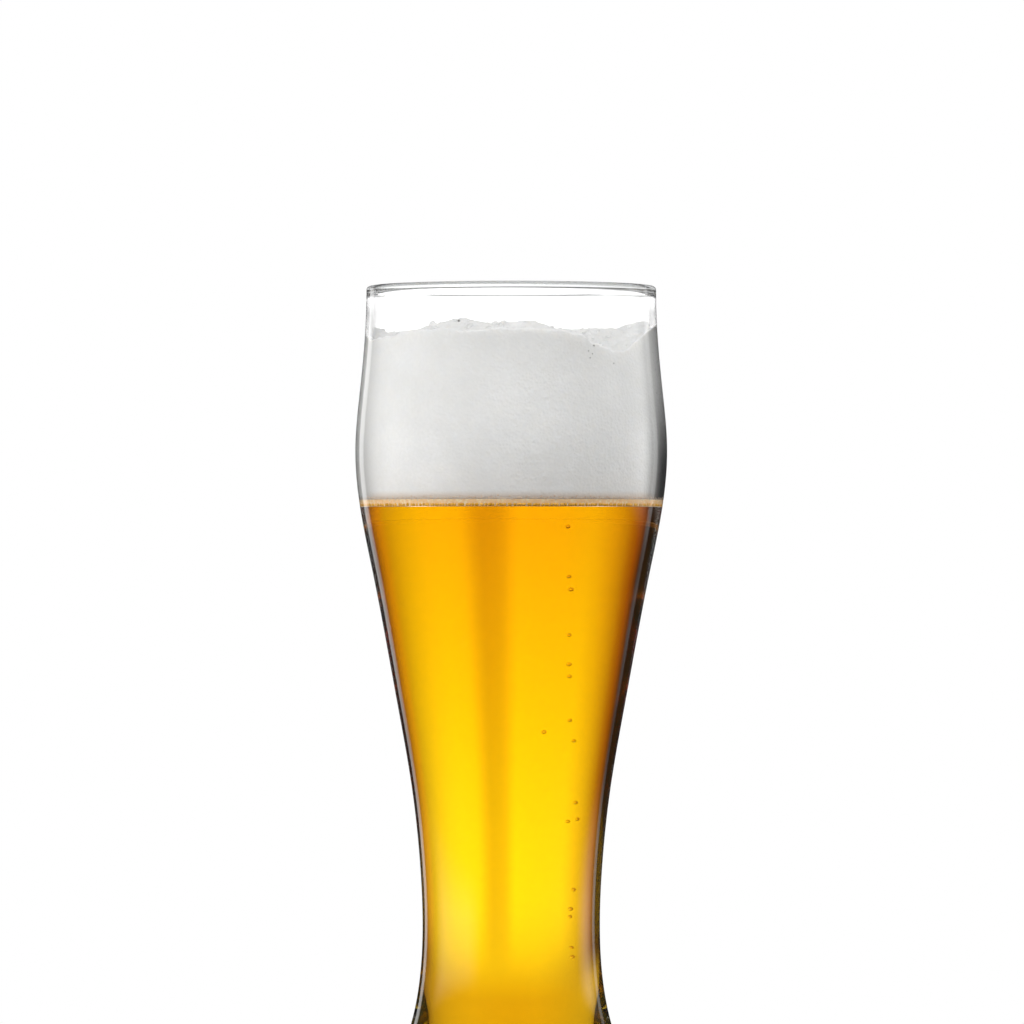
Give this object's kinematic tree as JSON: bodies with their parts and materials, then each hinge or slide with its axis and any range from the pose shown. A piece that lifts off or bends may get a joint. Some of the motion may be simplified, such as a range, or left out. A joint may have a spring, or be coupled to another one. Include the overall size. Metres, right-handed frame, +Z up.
{
  "type": "pint of beer",
  "caption": "Pint of pale golden beer with a deep head of foam in a tall clear wheat-beer glass with a swollen top, a narrow waist and a heavy round foot.",
  "frame": {"origin": "middle of the foot's underside, on the surface that the glass stands on", "axes": "+Z up along the glass's axis, +X to the right and -Y towards the viewer of the picture"},
  "size_m": [0.0826, 0.0826, 0.2277],
  "materials": {
    "clear_glass": "clear polished",
    "pale_beer": "clear golden liquid",
    "wet_foam": "wet, small bubbles",
    "foam": "matt, fine bubbles"
  },
  "bodies": {
    "root": {"glass": "clear_glass", "beer": "pale_beer", "soaked_layer": "wet_foam", "head": "foam"}
  },
  "joints": []
}
